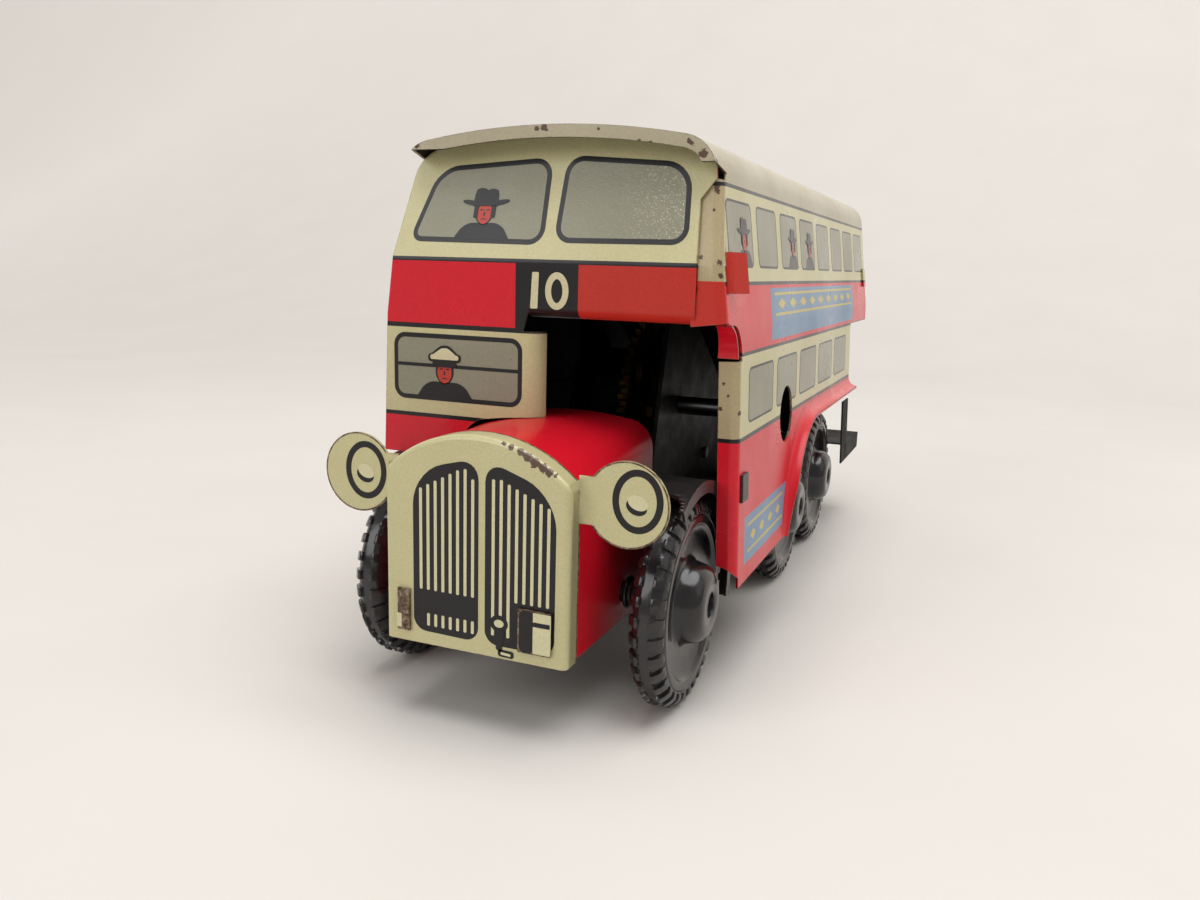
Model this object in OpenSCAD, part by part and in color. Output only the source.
// Clockwork tinplate double-deck bus with a half cab, on three axles.
// The origin is the middle of the footprint on the table. The front faces -Y and the kerb side is +X.
// Lengths are millimetres. "d" values are distances behind the flat of the upper front panel.

/* [Body] */
// Length from the folded radiator tabs to the back edge of the body
overall_l = 178; // [172:1:186]
// Radiator face ahead of the upper front panel
nose_l = 21.8; // [20.5:0.1:23]
// Body width across the bottom of the skirts
skirt_w = 64; // [63:0.2:67]
// Body width at the waist, where the upper deck starts to lean in
waist_w = 60.8; // [60:0.2:62]
// Body width at cantrail height, which sets how far the upper deck leans in
cantrail_w = 55; // [53:0.2:57]
// Height of the bottom edge of the skirts
skirt_z = 17.5; // [16:0.1:18.5]
// Height of the waist
waist_z = 60.8; // [60:0.1:62]
// Height of the cantrail
cantrail_z = 83.5; // [82:0.1:85]
// Height of the crown of the roof
roof_z = 91.2; // [90:0.1:93]
// Radius of the bend between side and roof
roof_corner_r = 6; // [4.5:0.1:7]
// Radius of the roof's camber
roof_camber_r = 130; // [110:1:160]
// Thickness of the tinplate
sheet_t = 0.4; // [0.35:0.01:0.45]
// Outer radius of the sheet bends at the front corners
corner_r = 1.6; // [1.4:0.1:1.8]

/* [Front] */
// Width of the returns that the sides turn in at the upper front
return_w = 5.6; // [5:0.1:6]
// Width of the return at the front of the lower panels
lower_return_w = 3.4; // [2.8:0.1:3.6]
// Kerb-side edge of the front panel, from the centre line
panel_edge_x = 25.4; // [24.8:0.1:25.8]
// Front of the lower panels behind the upper front
lower_front_d = 8.6; // [8:0.1:9.5]
// Underside of the upper deck over the bonnet recess
step_z = 61.2; // [61:0.1:62.5]
// Radius of the sweep from the upper deck down to the lower panel
step_r = 5.5; // [4:0.1:6.5]
// Bottom edge of the cab over the front wing
cab_bottom_z = 37.6; // [37.4:0.1:38.4]
// Top of the cab's rounded inner corner
cab_top_z = 58.8; // [57.5:0.1:60]
// End of the cab's flat front, from the centre line
cab_edge_x = -2.6; // [-4:0.1:-1.5]
// Radius of the cab's rounded inner corner
cab_r = 3.5; // [2.5:0.1:4.2]
// Depth of the cab's inner side
cab_d = 11; // [9:0.1:13]
// Height where the upper windows start to lean back
lean_z = 70.4; // [69.5:0.1:71.5]
// Angle at which the upper windows lean back
lean_a = 18.5; // [15:0.5:20]
// Outer radius of the rolled edge over the recess
roll_r = 2; // [1.5:0.1:2.4]
// Front edge of the roof's peak behind the upper front
peak_d = 1.4; // [0.8:0.1:2]
// Depth of the peak's down-turned lip
peak_lip = 2; // [1.5:0.1:2.4]
// Lowest point of the peak's ends
peak_z = 84; // [83.6:0.1:85]
// Rise of the lower edge of the peak's end towards the front
peak_rise = 1.2; // [0.6:0.1:2]
// Height by which the peak's end on the cab's side is cut back above the other one
peak_cut = 2.6; // [1.5:0.1:3.2]
// Radius of the notch at the foot of the lower returns
notch_r = 3.8; // [3:0.1:4.4]

/* [Bonnet and radiator] */
// Width over the bonnet
bonnet_w = 29.6; // [28.8:0.1:30.4]
// Height of the bonnet's crown
bonnet_z = 44.6; // [44:0.1:45.4]
// Bottom edge of the bonnet and radiator
bonnet_bottom_z = 12.2; // [11.6:0.1:12.6]
// Back edge of the bonnet behind the upper front
bonnet_back_d = 14; // [12:0.1:16]
// Radius of the bonnet's shoulder bends
bonnet_corner_r = 5; // [4:0.1:6]
// Radius of the bonnet's camber
bonnet_camber_r = 60; // [50:1:80]
// Depth of the radiator's flange back over the bonnet
radiator_flange = 2.6; // [2.2:0.1:3.4]
// Radius of the pressing round the radiator's face
radiator_edge_r = 1.3; // [1:0.1:1.5]
// Headlamp disc diameter
lamp_d = 12.6; // [11:0.1:13]
// Headlamp disc centre from the centre line
lamp_x = 22.5; // [22:0.1:23.5]
// Headlamp disc centre height
lamp_z = 36.9; // [36:0.1:37.4]
// Height of the arm that joins a headlamp disc to the radiator
lamp_arm_h = 7; // [5.5:0.1:8]
// Width of the fold of the kerb-side bonnet tab
tab_fold_near = 5.2; // [4:0.1:6]
// Width of the fold of the other bonnet tab
tab_fold_off = 2.1; // [1.6:0.1:3]
// Height of the bonnet tabs
tab_h = 6.6; // [5:0.1:7]

/* [Wheels and axles] */
// Tyre diameter
wheel_d = 34; // [33:0.1:34.6]
// Tyre width
wheel_w = 5.4; // [5:0.1:6]
// Width over the outer faces of the tyres
track_w = 54; // [53.6:0.1:54.4]
// Lugs round each shoulder of a tyre
lug_n = 34; // [28:1:40]
// Depth of the lugs
lug_h = 0.9; // [0.6:0.1:1.2]
// Reach of the lugs down the side of the tyre
lug_reach = 2.2; // [1.8:0.1:2.6]
// Width of each lugged shoulder
lug_w = 1.9; // [1.6:0.1:2.2]
// Hub dome diameter
dome_d = 13.4; // [12.6:0.1:14]
// Hub dome height beyond the tyre
dome_h = 2.9; // [2:0.1:3.2]
// Hole in the hub dome
hub_hole_d = 4; // [3.4:0.1:4.4]
// Diameter of the wheel boss that runs against the chassis
boss_d = 4.4; // [4:0.1:5]
// Ribs round that boss
boss_rib_n = 4; // [3:1:5]
// Height of those ribs
boss_rib_h = 0.5; // [0.3:0.1:0.7]
// Diameter of the dished disc inside the tyre
dish_d = 24.8; // [24:0.1:26]
// Depth of that dish
dish_h = 1.5; // [1:0.1:1.8]
// Axle diameter
axle_d = 2.5; // [2.3:0.05:2.7]
// Front axle behind the upper front
front_axle_d = 1.9; // [1.4:0.1:2.2]
// Driven rear axle behind the upper front
drive_axle_d = 75; // [74:0.2:76]
// Distance between the two rear axles
tandem_l = 37; // [36.2:0.1:38]

/* [Chassis and wings] */
// Height of the top of the chassis channel
chassis_z = 22.4; // [22:0.1:23]
// Bottom edge of the chassis channel
chassis_bottom_z = 13; // [12.8:0.1:14]
// Front and back edges of the floor that ties the chassis to the sides
floor_d = [23, 43];
// Gap between tyre and front wing
wing_gap = 2.4; // [2:0.1:2.8]
// Depth of the wing's down-turned outer edge
wing_edge = 1.6; // [1.2:0.1:1.9]
// Angle of the wing's front edge ahead of straight up
wing_front_a = 30; // [20:1:36]
// Angle of the wing's back edge below straight back
wing_back_a = 14; // [8:1:18]

/* [Rear] */
// Height of the top of the wheel arch
arch_z = 39.1; // [38.6:0.1:40]
// Foot of the wheel arch ahead of the driven axle
arch_lead = 28; // [27:0.1:28.6]
// Width of the arch's turned-out lip
arch_lip = 2.2; // [1.6:0.1:2.8]
// Length of the open rear platform
platform_l = 29; // [27:0.1:30]
// Height of the ceiling over the platform
platform_top_z = 56.4; // [55:0.1:57.5]
// Depth of the step below the platform's floor
platform_step = 4.4; // [3:0.1:5]
// Height of the cheek beside the platform's step
cheek_h = 17; // [14:0.1:18]
// Length of that cheek
cheek_l = 9; // [7:0.1:9.4]

/* [Motor] */
// Gap between the motor's side plates
motor_w = 17.2; // [16.8:0.1:17.6]
// Thickness of the motor's side plates
motor_plate_t = 0.8; // [0.7:0.05:0.9]
// Module of the gears
gear_m = 0.8; // [0.78:0.01:0.82]
// Teeth of the great wheel on the winding arbor
great_n = 44; // [42:1:45]
// Teeth of the second wheel
second_n = 30; // [28:1:31]
// Teeth of each pinion
pinion_n = 12; // [12:1:13]
// Face width of the two large wheels
gear_w = 1.2; // [1:0.1:1.3]
// Face width of the pinions
pinion_w = 2; // [1.8:0.1:2.2]
// Direction from the driven axle to the second arbor
second_a = 132; // [130:0.5:134]
// Direction from the second arbor to the winding arbor
great_a = 145; // [143:0.5:147]
// Diameter of the winding arbor
arbor_d = 3.6; // [3.4:0.1:4]
// Side of the square that the key fits
key_square = 2.5; // [2.2:0.05:2.5]
// Length of that square
key_square_l = 8; // [7:0.1:9]
// Diameter of the second arbor
second_d = 2.4; // [2.2:0.1:2.6]
// Diameter of the pillars between the motor plates
pillar_d = 3; // [2.6:0.1:3.2]
// Diameter of the keyhole in the side
keyhole_d = 11; // [9:0.1:12]
// Distance from the key square's end to the keyhole
key_depth = 3.6; // [3:0.1:5]
// Turns of the mainspring
spring_turns = 7; // [6:1:8]
// Width of the mainspring
spring_w = 7.6; // [7:0.1:8]
// Thickness of the mainspring
spring_t = 0.5; // [0.4:0.05:0.55]
// Step of the mainspring from turn to turn
spring_pitch = 1.2; // [1.1:0.05:1.3]

/* [Fits] */
// Gap between sheets that are tabbed together
fit_gap = 0.1; // [0.05:0.01:0.15]
// Radial running clearance of shafts in their plates
run_gap = 0.05; // [0.02:0.01:0.08]
// End play between a wheel boss and the chassis or bonnet
side_play = 0.5; // [0.3:0.05:0.6]
// Backlash of the gears along the pitch line
backlash = 0.16; // [0.12:0.01:0.2]

/* [Hidden] */
$fn = 48;
cream = "#d8d2ac";
red = "#c8202f";
roof_grey = "#a59f86";
black = "#1d1c1f";
steel = "#8e9196";
brass = "#b3944f";
// Reach of cutters past what they cut
over = 1;

// Slopes of the two flats of each side
low_slope = (skirt_w - waist_w) / 2 / (waist_z - skirt_z);
up_slope = (waist_w - cantrail_w) / 2 / (cantrail_z - waist_z);
low_a = atan(low_slope);
up_a = atan(up_slope);

// Places along the bus
tab_proud = sheet_t + fit_gap;
radiator_y = -overall_l / 2 + tab_proud;
front_y = radiator_y + nose_l;
rear_y = overall_l / 2;
return_y = front_y + sheet_t + fit_gap;
peak_y = front_y + peak_d;
side_y = return_y + corner_r;
lower_y = front_y + lower_front_d;
lower_side_y = lower_y + corner_r;
platform_y = rear_y - platform_l;
bonnet_back_y = front_y + bonnet_back_d;
bonnet_front_y = radiator_y + radiator_edge_r + fit_gap;
front_axle_y = front_y + front_axle_d;
drive_axle_y = front_y + drive_axle_d;
trailing_axle_y = drive_axle_y + tandem_l;
arch_y = drive_axle_y - arch_lead;
arch_r = arch_z - skirt_z;
arch_back_y = trailing_axle_y + arch_lead;

// Wheels and chassis
wheel_r = wheel_d / 2;
axle_r = axle_d / 2;
// A lug's flat tip stands on the ground
lug_half = 0.22;
axle_z = wheel_r * cos(lug_half * 360 / lug_n);
bonnet_half = bonnet_w / 2;
chassis_half = bonnet_half - sheet_t - fit_gap;
wheel_in_x = track_w / 2 - wheel_w;
boss_x = bonnet_half + side_play;
wing_r = wheel_r + wing_gap;
wing_in_x = bonnet_half + fit_gap;
wing_out_x = skirt_w / 2 - lower_return_w - 2 * sheet_t - fit_gap;
chassis_front_y = radiator_y + radiator_edge_r + sheet_t;
chassis_back_y = rear_y - platform_l + wheel_r / 8;

// Motor: the arbors follow from the driven axle and the gears
second_gap = gear_m * (second_n + pinion_n) / 2;
great_gap = gear_m * (great_n + pinion_n) / 2;
drive_p = [drive_axle_y, axle_z];
second_p = drive_p + second_gap * [cos(second_a), sin(second_a)];
great_p = second_p + great_gap * [cos(great_a), sin(great_a)];
great_tip_r = gear_m * (great_n / 2 + 0.7);
pillar_reach = great_tip_r + pillar_d / 2 + 1.6;
pillars = [
    great_p + pillar_reach * [cos(100), sin(100)],
    great_p + pillar_reach * [cos(230), sin(230)],
    second_p + (gear_m * (second_n / 2 + 0.7) + pillar_d / 2 + 1.6) * [cos(40), sin(40)]
];
plate_x = motor_w / 2;
plate_out_x = plate_x + motor_plate_t;
plate_edge = pillar_d / 2 + 2.2;
// Layers across the motor, from the offside plate to the nearside one
layer_gap = 0.6;
second_x = -plate_x + 2 * layer_gap;
spring_x = second_x + gear_w + layer_gap;
great_x = spring_x + spring_w + layer_gap;
arbor_r = arbor_d / 2;
arbor_head = 0.9;
key_x = half_w(great_p[1]) - key_depth;
ratchet_n = 14;
ratchet_r = arbor_r + 3.4;
ratchet_root = ratchet_r - 1.2;

// Half of the body's width at a height
function half_w(z) = waist_w / 2 - (z < waist_z ? low_slope : up_slope) * (z - waist_z);

// Waist corner of the side, set in by a distance
function waist_in(inset) =
    let (dz = inset * (1 / cos(low_a) - 1 / cos(up_a)) / (up_slope - low_slope))
    [waist_w / 2 - low_slope * dz - inset / cos(low_a), waist_z + dz];

// Centre of the bend between side and roof, tangent to both
function roof_corner() =
    let (
        reach = roof_camber_r - roof_corner_r,
        base = half_w(waist_z) + up_slope * (waist_z - roof_z + roof_camber_r) - roof_corner_r / cos(up_a),
        k = 1 + up_slope * up_slope,
        rise = (base * up_slope + sqrt(base * base * up_slope * up_slope
            - k * (base * base - reach * reach))) / k
    )
    [base - up_slope * rise, roof_z - roof_camber_r + rise];

// Solids from outlines: across the bus, along it, and mirrored to both sides
module along_x(x0, x1) {
    translate([x0, 0, 0]) rotate([90, 0, 90]) linear_extrude(x1 - x0) children();
}

module along_y(y0, y1) {
    translate([0, y1, 0]) rotate([90, 0, 0]) linear_extrude(y1 - y0) children();
}

module both_sides() {
    children();
    mirror([1, 0, 0]) children();
}

module disc_x(r, x0, x1, p) {
    along_x(x0, x1) translate(p) circle(r);
}

// Quarter of a bent sheet in the corner between +X and -Y of its centre
module quarter_bend(r) {
    polygon(concat(arc([0, 0], r, -90, 0, 10), arc([0, 0], r - sheet_t, 0, -90, 10)));
}

// Cap of a circle that crowns an outline, between two points of equal height
module crown(top, camber, half, low) {
    intersection() {
        translate([0, top - camber]) circle(camber, $fn = 180);
        translate([-half, low]) square([2 * half, top - low + over]);
    }
}

// Points round part of a circle
function arc(centre, r, a0, a1, n) = [for (i = [0:n]) let (a = a0 + (a1 - a0) * i / n) centre + r * [cos(a), sin(a)]];

// Cross-section of the body, set in by a distance, down to a height
module body_section(inset, low) {
    knee = waist_in(inset);
    bend = roof_corner();
    low_x = knee[0] + low_slope * (knee[1] - low);
    centre = [0, roof_z - roof_camber_r];
    bend_a = atan2(bend[1] - centre[1], bend[0]);
    shoulder = arc(bend, roof_corner_r - inset, up_a, bend_a, 12);
    top = arc(centre, roof_camber_r - inset, bend_a, 180 - bend_a, 24);
    other = [for (i = [12:-1:0]) [-shoulder[i][0], shoulder[i][1]]];
    crown_pts = [for (i = [1:23]) top[i]];
    polygon(concat(
        [[low_x, low], knee], shoulder, crown_pts, other, [[-knee[0], knee[1]], [-low_x, low]]
    ));
}

// Cross-section of bonnet and radiator: upright sides, bent shoulders and a cambered top
module hood_section(grow, low) {
    half = bonnet_half + grow;
    bend_r = bonnet_corner_r + grow;
    camber = bonnet_camber_r + grow;
    top = bonnet_z + grow;
    bend_x = half - bend_r;
    centre_z = top - camber;
    bend_z = centre_z + sqrt(pow(camber - bend_r, 2) - bend_x * bend_x);
    reach = camber / (camber - bend_r);
    top_p = [bend_x * reach, centre_z + (bend_z - centre_z) * reach];
    polygon([
        [-half, low], [half, low], [half, bend_z], top_p, [-top_p[0], top_p[1]], [-half, bend_z]
    ]);
    for (s = [-1, 1]) translate([s * bend_x, bend_z]) circle(bend_r);
    crown(top, camber, top_p[0], top_p[1]);
}

// Return that a side turns in at its front edge, on the kerb side; it may lean back with the upper windows
module side_return(z0, z1, slope_a, face_y, w, back_a = 0) {
    translate([half_w(z0), face_y, z0]) rotate([0, -slope_a, 0]) rotate([-back_a, 0, 0])
        linear_extrude((z1 - z0) / cos(slope_a) / cos(back_a)) {
            translate([-corner_r, corner_r]) quarter_bend(corner_r);
            translate([-w, 0]) square([w - corner_r, sheet_t]);
        }
}

// Space ahead of the leaning front edge of the upper side, on the kerb side
module lean_cut() {
    reach = skirt_w;
    intersection() {
        translate([half_w(lean_z), return_y, lean_z]) rotate([0, -up_a, 0]) rotate([-lean_a, 0, 0])
            translate([-reach / 4, corner_r - reach, 0]) cube([reach, reach, reach]);
        translate([0, front_y - reach, lean_z]) cube([reach, 2 * reach, peak_z - lean_z]);
    }
}

// Space under the peak's end in side view, from the leaning edge at a height up to the front
module peak_end_view(end_z) {
    function lean_y(z) = return_y + corner_r / cos(lean_a) + (z - lean_z) * tan(lean_a) + fit_gap;
    front_z = end_z + peak_rise;
    polygon([
        [peak_y - over, peak_z - fit_gap], [lean_y(peak_z), peak_z - fit_gap], [lean_y(end_z), end_z],
        [peak_y, front_z], [peak_y - over, front_z]
    ]);
}

// Tab that comes through a side sheet and is folded flat on it; slot makes its slot's cutter
// y0 is the neck, y1 the free end of the fold, z0 to z1 the neck's height, and rise what the fold stands above it
module side_tab(y0, y1, z0, z1, reach, slot = false, rise = 0) {
    slope_a = z0 < waist_z ? low_a : up_a;
    grow = slot ? fit_gap : 0;
    translate([half_w(z0), 0, z0]) rotate([0, -slope_a, 0]) {
        translate([-reach, min(y0, y0 + sheet_t) - grow, -grow])
            cube([reach + fit_gap + sheet_t + 5 * grow, sheet_t + 2 * grow, z1 - z0 + 2 * grow]);
        if (!slot)
            translate([fit_gap, min(y0, y1), 0]) cube([sheet_t, abs(y1 - y0), z1 - z0 + rise]);
    }
}

// Tabs of the front panel, of the wings and of the back panel, as [neck y, end y, low z, high z, reach]
front_tab_z = [lean_z - 4.4, lean_z - 0.4];
front_tab_x = panel_edge_x - sheet_t;
front_tab = [side_y + 0.3, side_y + 4.2, front_tab_z[0], front_tab_z[1],
    half_w(front_tab_z[0]) - front_tab_x - sheet_t / 2];
rear_tab = [rear_y - 2.6, rear_y - 5.8, 66, 71, 2.4];
wing_tab_y = lower_side_y + 0.3;

// Line of a wheel arch in side view, raised by a distance; an open arch runs straight out at its back end
function arch_line(grow, back_y, open) = concat(
    arc([arch_y + arch_r, skirt_z], arch_r + grow, 180, 90, 16),
    open ? [[back_y, arch_z + grow]] : arc([back_y - arch_r, skirt_z], arch_r + grow, 90, 0, 16)
);

module arch_view(back_y, open) {
    polygon(concat([[arch_y, skirt_z - over]], arch_line(0, back_y, open), [[back_y, skirt_z - over]]));
}

// Lip along the arch in side view
module arch_lip_view(back_y, open) {
    inner = arch_line(0, back_y, open);
    last = len(inner) - 1;
    polygon(concat(arch_line(sheet_t, back_y, open), [for (i = [last:-1:0]) inner[i]]));
}

// Space ahead of a lower panel in side view, with a sweep at its inner corner
module front_cut_view(top_z) {
    reach = nose_l + lower_front_d;
    translate([lower_side_y - reach, -over]) square([reach, top_z - step_r + over]);
    translate([lower_side_y - reach, -over]) square([reach - step_r, top_z + over]);
    translate([lower_side_y - step_r, top_z - step_r]) circle(step_r);
}

// Nearside, roof and offside in one sheet
module body_shell() {
    reach = skirt_w;
    color(cream) difference() {
        union() {
            difference() {
                along_y(peak_y, rear_y) difference() {
                    body_section(0, skirt_z);
                    body_section(sheet_t, skirt_z - over);
                }
                along_x(-reach, reach) translate([front_y - over, 0])
                    square([side_y - front_y + over, lean_z]);
                both_sides() lean_cut();
                along_x(0, reach) {
                    front_cut_view(step_z);
                    arch_view(platform_y + over, true);
                    translate([platform_y, 0]) square([platform_l + over, platform_top_z]);
                }
                along_x(-reach, 0) {
                    front_cut_view(cab_bottom_z);
                    arch_view(arch_back_y, false);
                }
            }
            // Lip of the peak
            along_y(peak_y, peak_y + sheet_t) intersection() {
                difference() {
                    body_section(0, skirt_z);
                    body_section(peak_lip, skirt_z - over);
                }
                translate([-reach, peak_z]) square([2 * reach, roof_z]);
            }
            // Returns at the front
            both_sides() {
                side_return(step_z + sheet_t, lean_z, up_a, return_y, return_w);
                side_return(lean_z, peak_z - 2 * sheet_t, up_a, return_y, return_w, lean_a);
            }
            mirror([1, 0, 0])
                side_return(cab_bottom_z, waist_z - sheet_t, low_a, return_y, return_w);
            side_return(skirt_z, step_z - step_r - sheet_t, low_a, lower_y, lower_return_w);
            mirror([1, 0, 0])
                side_return(skirt_z, cab_bottom_z - step_r - sheet_t, low_a, lower_y, lower_return_w);
            // Lips of the wheel arches, turned out
            intersection() {
                union() {
                    along_x(0, reach) arch_lip_view(platform_y, true);
                    along_x(-reach, 0) arch_lip_view(arch_back_y, false);
                }
                along_y(arch_y - over, rear_y) difference() {
                    body_section(-arch_lip, skirt_z);
                    body_section(sheet_t / 2, skirt_z - over);
                }
            }
        }
        disc_x(keyhole_d / 2, key_x, reach, great_p);
        along_x(0, reach) peak_end_view(peak_z);
        along_x(-reach, 0) peak_end_view(peak_z + peak_cut);
        both_sides() {
            along_y(lower_y - over, lower_side_y)
                translate([half_w(skirt_z) - lower_return_w, skirt_z]) circle(notch_r);
            side_tab(front_tab[0], front_tab[1], front_tab[2], front_tab[3], front_tab[4], true);
            front_tab_flange(fit_gap);
            side_tab(rear_tab[0], rear_tab[1], rear_tab[2], rear_tab[3], rear_tab[4], true);
            wing_slot();
        }
    }
}

// Outline of the front panel: it reaches the corner on the cab's side and stops short of it on the other
module front_outline() {
    half = skirt_w / 2;
    intersection() {
        body_section(2 * sheet_t, skirt_z);
        polygon([
            [-half, skirt_z], [panel_edge_x, skirt_z], [panel_edge_x, lean_z],
            [panel_edge_x - 0.8, peak_z - 4], [half_w(peak_z), peak_z], [half, roof_z], [-half, roof_z]
        ]);
    }
}

// Flange that carries the tab of the front panel back through the return
module front_tab_flange(grow) {
    translate([front_tab_x - grow, front_y + sheet_t / 2, front_tab[2] - grow])
        cube([sheet_t + 2 * grow, front_tab[0] + sheet_t / 2 - front_y, front_tab[3] - front_tab[2] + 2 * grow]);
}

// Upper front, cab front and the cab's inner corner in one sheet
module front_panel() {
    half = skirt_w / 2;
    band_z = step_z + roll_r;
    color(cream) difference() {
        union() {
            along_y(front_y, front_y + sheet_t) intersection() {
                front_outline();
                union() {
                    translate([-half, band_z]) square([2 * half, lean_z - band_z]);
                    translate([-half, cab_bottom_z]) square([half + cab_edge_x, lean_z - cab_bottom_z]);
                }
            }
            intersection() {
                translate([-half, front_y, lean_z]) rotate([-lean_a, 0, 0]) cube([2 * half, sheet_t, roof_z]);
                along_y(front_y - over, front_y + roof_z) intersection() {
                    front_outline();
                    translate([-half, lean_z - sheet_t]) square([2 * half, roof_z]);
                }
            }
            // Edge rolled under over the recess
            along_x(cab_edge_x, panel_edge_x) {
                translate([front_y + roll_r, band_z]) rotate(-90) quarter_bend(roll_r);
                translate([front_y + roll_r, step_z]) square([roll_r, sheet_t]);
            }
            // Rounded inner corner and inner side of the cab
            translate([0, 0, cab_bottom_z]) linear_extrude(cab_top_z - cab_bottom_z) {
                translate([cab_edge_x, front_y + cab_r]) quarter_bend(cab_r);
                translate([cab_edge_x + cab_r - sheet_t, front_y + cab_r]) square([sheet_t, cab_d - cab_r]);
            }
            both_sides() {
                side_tab(front_tab[0], front_tab[1], front_tab[2], front_tab[3], front_tab[4], rise = 2.2);
                front_tab_flange(0);
            }
        }
        along_y(front_y - over, front_y + cab_d + over) hood_section(fit_gap, skirt_z);
    }
}

// Back of the upper deck and the closed half of the lower deck
module rear_panel() {
    back_y = rear_y - 1.2;
    half = skirt_w / 2;
    color(cream) {
        along_y(back_y - sheet_t, back_y) difference() {
            body_section(sheet_t + fit_gap, chassis_z);
            translate([cab_edge_x, 0]) square([skirt_w, platform_top_z]);
        }
        both_sides() {
            side_tab(rear_tab[0], rear_tab[1], rear_tab[2], rear_tab[3], rear_tab[4]);
            translate([half_w(rear_tab[3]) - rear_tab[4], rear_tab[0], rear_tab[2]])
                cube([sheet_t, back_y - rear_tab[0], rear_tab[3] - rear_tab[2]]);
        }
    }
}

// Wall between the lower saloon and the platform
module saloon_bulkhead() {
    bulkhead_y = platform_y - sheet_t - fit_gap;
    color(cream) along_y(bulkhead_y, bulkhead_y + sheet_t) intersection() {
        body_section(sheet_t + fit_gap, arch_z + sheet_t + fit_gap);
        translate([-skirt_w, 0]) square([2 * skirt_w, platform_top_z]);
    }
}

// Bonnet, open behind
module bonnet() {
    color(red) difference() {
        along_y(bonnet_front_y, bonnet_back_y) difference() {
            hood_section(0, bonnet_bottom_z);
            hood_section(-sheet_t, bonnet_bottom_z - over);
        }
        disc_x(axle_r + side_play, -bonnet_w, bonnet_w, [front_axle_y, axle_z]);
    }
}

// Pressed radiator: face, rounded edge, flange over the bonnet, and the two headlamps
module radiator_shell() {
    flange_grow = fit_gap + sheet_t;
    steps = 4;
    color(cream) difference() {
        union() {
            difference() {
                radiator_form(flange_grow, radiator_edge_r, radiator_y, radiator_back_y, steps);
                radiator_form(fit_gap, radiator_edge_r - sheet_t, radiator_y + sheet_t, radiator_back_y + over, steps);
            }
            both_sides() headlamp();
        }
        translate([-bonnet_w, radiator_y - over, 0]) cube([2 * bonnet_w, nose_l, bonnet_bottom_z]);
        both_sides() radiator_slot();
    }
}

// Hood section whose front edge is rounded in steps
module radiator_form(grow, edge_r, front, back, steps) {
    slice = 0.05;
    hull() {
        for (i = [0:steps]) {
            a = 90 * i / steps;
            translate([0, edge_r * (1 - sin(a)), 0]) along_y(front, front + slice)
                hood_section(grow - edge_r * (1 - cos(a)), bonnet_bottom_z - over, $fn = 32);
        }
        along_y(back - 10 * slice, back) hood_section(grow, bonnet_bottom_z - over, $fn = 32);
    }
}

radiator_back_y = radiator_y + radiator_flange + radiator_edge_r;
lamp_y = radiator_back_y - sheet_t;

// Headlamp disc on an arm, bent out at the flange's back edge
module headlamp() {
    arm_x = bonnet_half + fit_gap;
    along_y(lamp_y, lamp_y + sheet_t) difference() {
        union() {
            translate([lamp_x, lamp_z]) circle(lamp_d / 2);
            translate([arm_x, lamp_z - lamp_arm_h / 2]) square([lamp_x - arm_x, lamp_arm_h]);
        }
        hood_section(fit_gap, bonnet_bottom_z);
    }
}

tab_x = bonnet_half - radiator_edge_r - sheet_t - 0.6;
tab_z = bonnet_bottom_z + 1.8;

module radiator_slot() {
    translate([tab_x - fit_gap, radiator_y - over, tab_z - fit_gap])
        cube([sheet_t + 2 * fit_gap, radiator_flange, tab_h + 2 * fit_gap]);
}

// Wing over a front wheel, with its outer edge turned down and its front edge scalloped
module front_wing() {
    a0 = -wing_back_a;
    a1 = 90 + wing_front_a;
    scallop_r = 3.6;
    color(black) difference() {
        union() {
            wing_arc(wing_r, wing_r + sheet_t, a0, a1, wing_in_x, wing_out_x);
            wing_arc(wing_r - wing_edge, wing_r + sheet_t, a0, a1, wing_out_x - sheet_t, wing_out_x);
            wing_tab(0);
        }
        translate([wing_out_x - scallop_r - 2 * sheet_t, front_axle_y - wing_r * sin(wing_front_a), axle_z])
            cylinder(r = scallop_r, h = wing_r + over);
    }
}

module wing_arc(r0, r1, a0, a1, x0, x1) {
    reach = 2 * r1;
    along_x(x0, x1) translate([front_axle_y, axle_z]) intersection() {
        difference() {
            circle(r1);
            circle(r0);
        }
        polygon([
            [0, 0], reach * [cos(a0), sin(a0)], reach * [1, 1], reach * [cos(a1), 1], reach * [cos(a1), sin(a1)]
        ]);
    }
}

wing_tab_w = 3.6;
wing_tab_z = axle_z + sqrt(wing_r * wing_r - pow(wing_tab_y + wing_tab_w - front_axle_y, 2));

// Tab of a wing, out through the side and folded up
module wing_tab(grow) {
    x0 = wing_out_x - sheet_t;
    x1 = half_w(wing_tab_z) + fit_gap;
    translate([x0, wing_tab_y - grow, wing_tab_z - grow])
        cube([x1 - x0 + sheet_t, wing_tab_w + 2 * grow, sheet_t + 2 * grow]);
    if (grow == 0)
        translate([x1, wing_tab_y, wing_tab_z]) rotate([0, -low_a, 0]) cube([sheet_t, wing_tab_w, 4.6]);
}

module wing_slot() {
    wing_tab(fit_gap);
}

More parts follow.
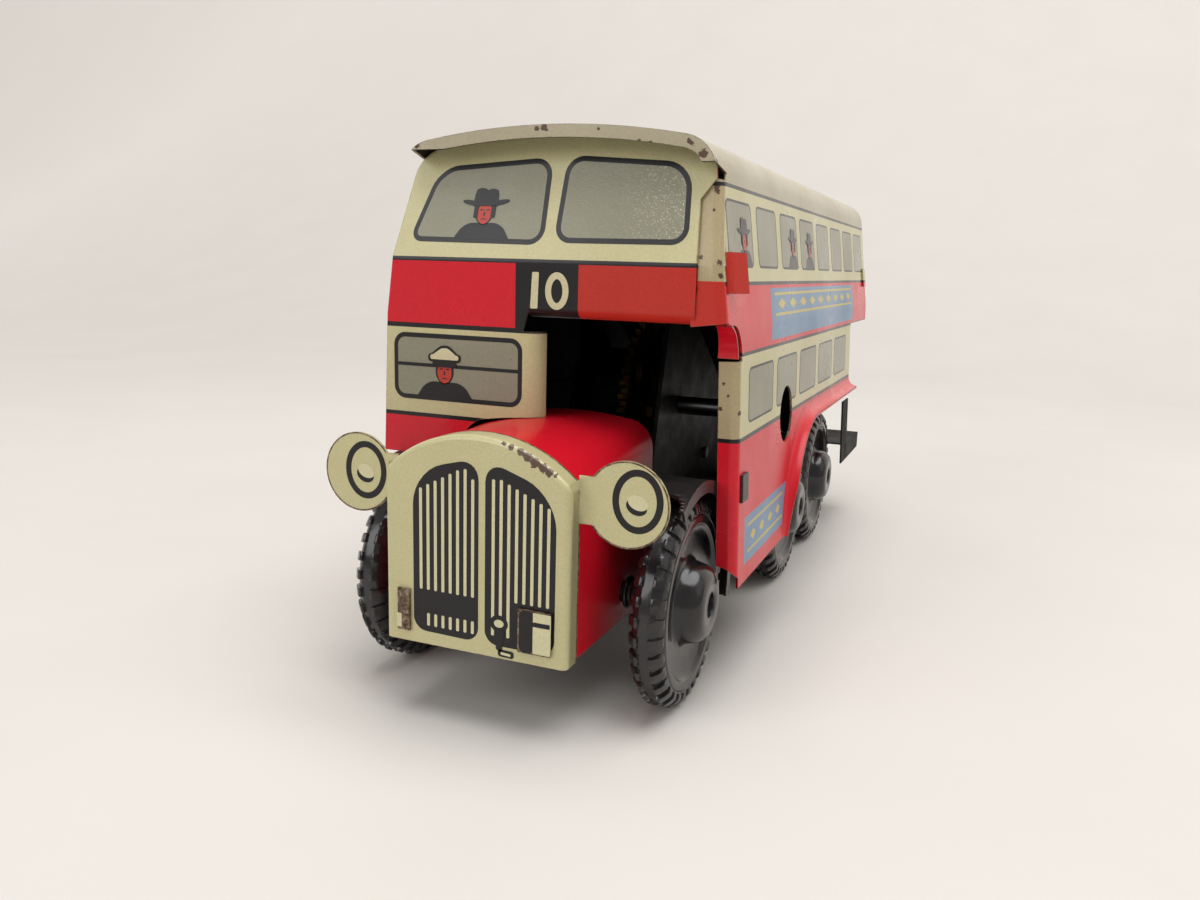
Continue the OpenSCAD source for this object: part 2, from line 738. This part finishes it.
// Channel that carries the axles and the motor, with the floor that ties it to the sides
module chassis_channel() {
    floor_half = half_w(chassis_z) - sheet_t / cos(low_a) - 2 * fit_gap;
    window_y0 = pillars[1][0] - plate_edge - fit_gap;
    window_y1 = drive_axle_y + plate_edge + fit_gap;
    window_half = plate_out_x + fit_gap;
    inner = chassis_half - sheet_t;
    depth = chassis_z - chassis_bottom_z;
    color(black) difference() {
        union() {
            along_y(chassis_front_y, chassis_back_y) difference() {
                translate([-chassis_half, chassis_bottom_z]) square([2 * chassis_half, depth]);
                translate([-inner, chassis_bottom_z - over]) square([2 * inner, depth - sheet_t + over]);
            }
            translate([-chassis_half, chassis_front_y, chassis_bottom_z])
                cube([2 * chassis_half, sheet_t, depth]);
            translate([-floor_half, front_y + floor_d[0], chassis_z - sheet_t])
                cube([2 * floor_half, floor_d[1] - floor_d[0], sheet_t]);
            bonnet_tab(tab_fold_near);
            mirror([1, 0, 0]) bonnet_tab(tab_fold_off);
        }
        translate([-window_half, window_y0, chassis_z - sheet_t - over])
            cube([2 * window_half, window_y1 - window_y0, sheet_t + 2 * over]);
        for (y = [front_axle_y, drive_axle_y, trailing_axle_y])
            disc_x(axle_r + run_gap, -bonnet_w, bonnet_w, [y, axle_z]);
    }
}

// Tab through the radiator, folded flat towards the middle
module bonnet_tab(fold) {
    translate([tab_x, radiator_y - tab_proud, tab_z])
        cube([sheet_t, chassis_front_y - radiator_y + tab_proud, tab_h]);
    translate([tab_x + sheet_t - fold, radiator_y - tab_proud, tab_z]) cube([fold, sheet_t, tab_h]);
}

// Platform floor, its step and the cheek beside it
module rear_platform() {
    edge_half = half_w(chassis_z) - sheet_t / cos(low_a) - 2 * fit_gap;
    front = trailing_axle_y + wheel_r + 1.4;
    back = rear_y - 1.2 - sheet_t - fit_gap;
    floor_top = chassis_z + sheet_t;
    cheek_y = platform_y - cheek_l / 3;
    color(black) {
        translate([-edge_half, front, chassis_z]) cube([2 * edge_half, back - front, sheet_t]);
        translate([-chassis_half, chassis_back_y - 6, chassis_z])
            cube([2 * chassis_half, front - chassis_back_y + 6, sheet_t]);
        // Step turned down along the kerb and the back
        translate([edge_half - sheet_t, front, floor_top - platform_step])
            cube([sheet_t, back - front, platform_step]);
        translate([-edge_half, back - sheet_t, floor_top - platform_step])
            cube([2 * edge_half, sheet_t, platform_step]);
        translate([edge_half - sheet_t, cheek_y, floor_top - platform_step])
            rotate([0, -low_a, 0]) cube([sheet_t, cheek_l, cheek_h]);
    }
}

// Side plate of the motor: bores for three shafts, and lugs that stand on the chassis
module motor_plate(x0) {
    lug_l = 5;
    side = sign(x0);
    lug_x = side > 0 ? plate_out_x - over / 2 : -chassis_half + sheet_t;
    lug_w = chassis_half - sheet_t - plate_out_x + over / 2;
    color(steel) difference() {
        union() {
            along_x(x0, x0 + motor_plate_t) hull() {
                for (p = pillars) translate(p) circle(plate_edge);
                translate(drive_p) circle(plate_edge);
            }
            for (y = [pillars[1][0] - lug_l / 2, pillars[2][0] - lug_l / 2])
                translate([lug_x, y, chassis_z]) cube([lug_w, lug_l, motor_plate_t]);
        }
        disc_x(arbor_r + run_gap, x0 - over, x0 + 2 * over, great_p);
        disc_x(second_d / 2 + run_gap, x0 - over, x0 + 2 * over, second_p);
        disc_x(axle_r + run_gap, x0 - over, x0 + 2 * over, drive_p);
        for (p = pillars) disc_x(pillar_d / 4, x0 - over, x0 + 2 * over, p);
    }
}

// Pillars between the plates, with their ends riveted through
module motor_pillars() {
    rivet = 0.5;
    color(steel) for (p = pillars) {
        disc_x(pillar_d / 2, -plate_x, plate_x, p);
        disc_x(pillar_d / 4, -plate_out_x - rivet, plate_out_x + rivet, p);
    }
}

// Radius of the mainspring's strip along its turns; the last half turn reaches out to the first pillar
function spring_r(a) =
    let (tail = max(0, (a - 360 * spring_turns) / 180))
    arbor_r + 0.8 + spring_pitch * a / 360
        + tail * tail * (pillar_reach - pillar_d / 2 - spring_t - fit_gap
            - arbor_r - 0.8 - spring_pitch * (spring_turns + 0.5));

module mainspring() {
    turn_steps = 24;
    end_a = 360 * (spring_turns + 0.5);
    angles = [for (i = [0:turn_steps * (spring_turns + 0.5)]) i * 360 / turn_steps];
    inner = [for (a = angles) spring_r(a) * [cos(a + 100 - end_a), sin(a + 100 - end_a)]];
    outer = [for (a = angles) (spring_r(a) + spring_t) * [cos(a + 100 - end_a), sin(a + 100 - end_a)]];
    last = len(angles) - 1;
    color(steel) along_x(spring_x, spring_x + spring_w) translate(great_p)
        polygon(concat(inner, [for (i = [last:-1:0]) outer[i]]));
}

// Arbor with the square for the key
module winding_arbor() {
    color(steel) {
        disc_x(arbor_r, -plate_out_x - arbor_head, key_x - key_square_l, great_p);
        along_x(key_x - key_square_l - over, key_x) translate(great_p)
            square(key_square, center = true);
    }
}

// Saw-toothed ratchet on the arbor
module ratchet_wheel() {
    step = 360 / ratchet_n;
    points = [for (i = [0:ratchet_n - 1]) each [
        ratchet_root * [cos(i * step), sin(i * step)],
        ratchet_r * [cos((i + 0.98) * step), sin((i + 0.98) * step)]
    ]];
    color(brass) difference() {
        along_x(great_x + gear_w, great_x + 2 * gear_w) translate(great_p) polygon(points);
        disc_x(arbor_r, great_x, great_x + 3 * gear_w, great_p);
    }
}

// Click riveted to the great wheel, with its nose behind a ratchet tooth
module click() {
    click_r = ratchet_r + 4.2;
    pivot = click_r * [cos(40), sin(40)];
    nose = (ratchet_root + 0.35) * [cos(4), sin(4)];
    along = (pivot - nose) / norm(pivot - nose);
    across = [-along[1], along[0]];
    color(brass) along_x(great_x + gear_w, great_x + 2 * gear_w) translate(great_p) {
        translate(pivot) circle(1.3);
        polygon([nose, pivot - 1.2 * across, pivot + 1.2 * across]);
    }
}

// Gear outline with involute flanks and backlash
// n teeth, tip and root as addendum and dedendum in modules, turned so that a tooth or a gap points at face_a
module gear_outline(n, tip, root, face_a, gap = false) {
    pitch_r = gear_m * n / 2;
    base_r = pitch_r * cos(20);
    tip_r = pitch_r + tip * gear_m;
    root_r = pitch_r - root * gear_m;
    start_r = max(base_r, root_r);
    half = 90 / n - backlash / 4 / pitch_r * 180 / PI + involute(20);
    steps = 4;
    flank = [for (i = [0:steps]) let (r = start_r + (tip_r - start_r) * i / steps) [r, half - involute(acos(base_r / r))]];
    turn = face_a + (gap ? 180 / n : 0);
    points = [for (k = [0:n - 1]) let (a = turn + k * 360 / n) each concat(
        [root_r * [cos(a - flank[0][1]), sin(a - flank[0][1])]],
        [for (i = [0:steps]) flank[i][0] * [cos(a - flank[i][1]), sin(a - flank[i][1])]],
        [for (i = [steps:-1:0]) flank[i][0] * [cos(a + flank[i][1]), sin(a + flank[i][1])]],
        [root_r * [cos(a + flank[0][1]), sin(a + flank[0][1])]]
    )];
    polygon(points);
}

// Involute function of a pressure angle, in degrees
function involute(a) = tan(a) * 180 / PI - a;

// Great wheel on the winding arbor
module great_wheel() {
    holes_n = 5;
    hole_r = great_tip_r / 6;
    color(brass) difference() {
        along_x(great_x, great_x + gear_w) translate(great_p) gear_outline(great_n, 0.7, 1.3, great_a + 180);
        disc_x(arbor_r, great_x - over, great_x + gear_w + over, great_p);
        for (i = [0:holes_n - 1])
            disc_x(hole_r, great_x - over, great_x + gear_w + over,
                great_p + great_tip_r * 0.72 * [cos(i * 360 / holes_n + 76), sin(i * 360 / holes_n + 76)]);
    }
}

module second_arbor() {
    color(steel) disc_x(second_d / 2, -plate_out_x - arbor_head, plate_out_x + arbor_head, second_p);
}

module second_pinion() {
    mid = great_x + gear_w / 2;
    color(steel) difference() {
        along_x(mid - pinion_w / 2, mid + pinion_w / 2) translate(second_p)
            gear_outline(pinion_n, 1, 1, great_a, true);
        disc_x(second_d / 2, mid - pinion_w, mid + pinion_w, second_p);
    }
}

module second_wheel() {
    color(brass) difference() {
        along_x(second_x, second_x + gear_w) translate(second_p) gear_outline(second_n, 0.7, 1.3, second_a + 180);
        disc_x(second_d / 2, second_x - over, second_x + gear_w + over, second_p);
    }
}

module drive_pinion() {
    mid = second_x + gear_w / 2;
    color(steel) difference() {
        along_x(mid - pinion_w / 2, mid + pinion_w / 2) translate(drive_p)
            gear_outline(pinion_n, 1, 1, second_a, true);
        disc_x(axle_r, mid - pinion_w, mid + pinion_w, drive_p);
    }
}

// Axle, ending inside the hole of each hub dome
module axle(y) {
    half = track_w / 2 + dome_h / 3;
    color(steel) disc_x(axle_r, -half, half, [y, axle_z]);
}

// Wheel in half section: distance out from its inner face, against radius
module wheel_profile() {
    boss_l = wheel_in_x - boss_x;
    rib_l = boss_l / boss_rib_n;
    tread_r = wheel_r - lug_h;
    shoulder_r = wheel_r - lug_reach;
    dish_r = dish_d / 2;
    groove_r = (shoulder_r + dish_r) / 2 + 0.6;
    dome_r = dome_d / 2;
    top = wheel_w + dome_h;
    ribs = [for (i = [0:boss_rib_n - 1]) let (h = -boss_l + i * rib_l) each [
        [boss_d / 2, h], [boss_d / 2 + boss_rib_h, h + 0.2 * rib_l],
        [boss_d / 2 + boss_rib_h, h + 0.5 * rib_l], [boss_d / 2, h + 0.7 * rib_l]
    ]];
    polygon(concat(
        [[axle_r, -boss_l]], ribs,
        // Hollow back, tyre and its groove
        [[boss_d / 2, dish_h], [dish_r - 1, dish_h], [dish_r, 0.2], [shoulder_r, 0.2], [tread_r, lug_w / 2],
            [tread_r, wheel_w - lug_w / 2], [shoulder_r, wheel_w - 0.2], [groove_r + 0.3, wheel_w],
            [groove_r, wheel_w - 0.4], [groove_r - 0.3, wheel_w], [dish_r + 0.4, wheel_w]],
        // Dish and hub dome
        [[dish_r, wheel_w - dish_h * 0.6], [dome_r + 0.6, wheel_w - dish_h], [dome_r, wheel_w - dish_h * 0.8],
            [dome_r - 0.3, wheel_w + dome_h * 0.4], [dome_r - 1, wheel_w + dome_h * 0.8], [dome_r - 2, top],
            [hub_hole_d / 2, top], [hub_hole_d / 2, wheel_w + dome_h / 3], [axle_r, wheel_w + dome_h / 3]]
    ));
}

// Ring of lugs, one shoulder of a tyre
module lug_ring() {
    step = 360 / lug_n;
    root = wheel_r - lug_h;
    linear_extrude(lug_w - 0.2) difference() {
        polygon([for (i = [0:lug_n - 1]) each [
            root * [cos((i - 0.3) * step), sin((i - 0.3) * step)],
            wheel_r * [cos((i - lug_half) * step), sin((i - lug_half) * step)],
            wheel_r * [cos((i + lug_half) * step), sin((i + lug_half) * step)],
            root * [cos((i + 0.3) * step), sin((i + 0.3) * step)]
        ]]);
        circle(wheel_r - lug_reach);
    }
}

// Moulded wheel on the kerb side; the turn sets the lugs' place so that a lug stands on the ground
module wheel(y) {
    color(black) translate([wheel_in_x, y, axle_z]) rotate([0, 90, 0]) {
        rotate_extrude() wheel_profile();
        translate([0, 0, 0.1]) lug_ring();
        translate([0, 0, wheel_w - lug_w + 0.1]) lug_ring();
    }
}

body_shell();
front_panel();
rear_panel();
saloon_bulkhead();
bonnet();
radiator_shell();
front_wing();  // front_wing_nearside
mirror([1, 0, 0]) front_wing();  // front_wing_offside
chassis_channel();
rear_platform();
motor_plate(plate_x);  // motor_plate_nearside
motor_plate(-plate_out_x);  // motor_plate_offside
motor_pillars();
mainspring();
winding_arbor();
ratchet_wheel();
click();
great_wheel();
second_arbor();
second_pinion();
second_wheel();
axle(drive_axle_y);  // drive_axle
drive_pinion();
axle(front_axle_y);  // front_axle
axle(trailing_axle_y);  // trailing_axle
wheel(front_axle_y);  // wheel_front_nearside
mirror([1, 0, 0]) wheel(front_axle_y);  // wheel_front_offside
wheel(drive_axle_y);  // wheel_drive_nearside
mirror([1, 0, 0]) wheel(drive_axle_y);  // wheel_drive_offside
wheel(trailing_axle_y);  // wheel_trailing_nearside
mirror([1, 0, 0]) wheel(trailing_axle_y);  // wheel_trailing_offside
